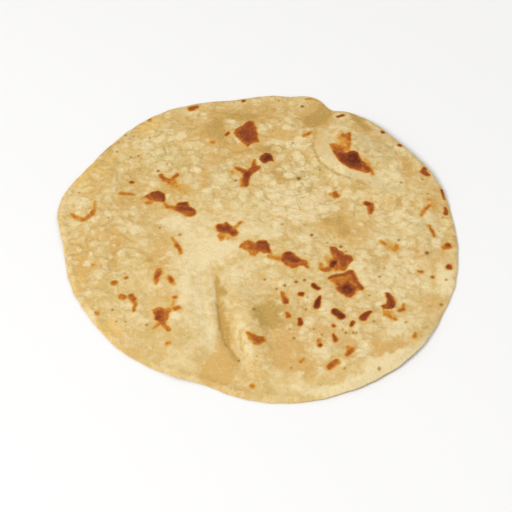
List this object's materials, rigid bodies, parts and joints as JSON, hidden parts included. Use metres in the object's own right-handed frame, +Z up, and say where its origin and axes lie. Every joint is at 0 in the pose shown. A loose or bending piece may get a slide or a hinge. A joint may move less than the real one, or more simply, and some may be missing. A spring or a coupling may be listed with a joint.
{
  "type": "chapati flatbread",
  "caption": "Thin round griddle-baked chapati flatbread with an uneven hand-rolled rim, soft folds, blisters and brown spots, lying flat.",
  "frame": {"origin": "on the table, under the middle of the bread's box", "axes": "+Z up out of the bread's browner face, +X to the right and +Y away, so that the notch in the rim is at the far right"},
  "size_m": [0.201, 0.2014, 0.007],
  "materials": {
    "baked_dough": "soft baked wheat dough, matt with a faint oily sheen, cream with tan patches and red-brown blister marks"
  },
  "bodies": {
    "root": {"chapati": "baked_dough"}
  },
  "joints": []
}
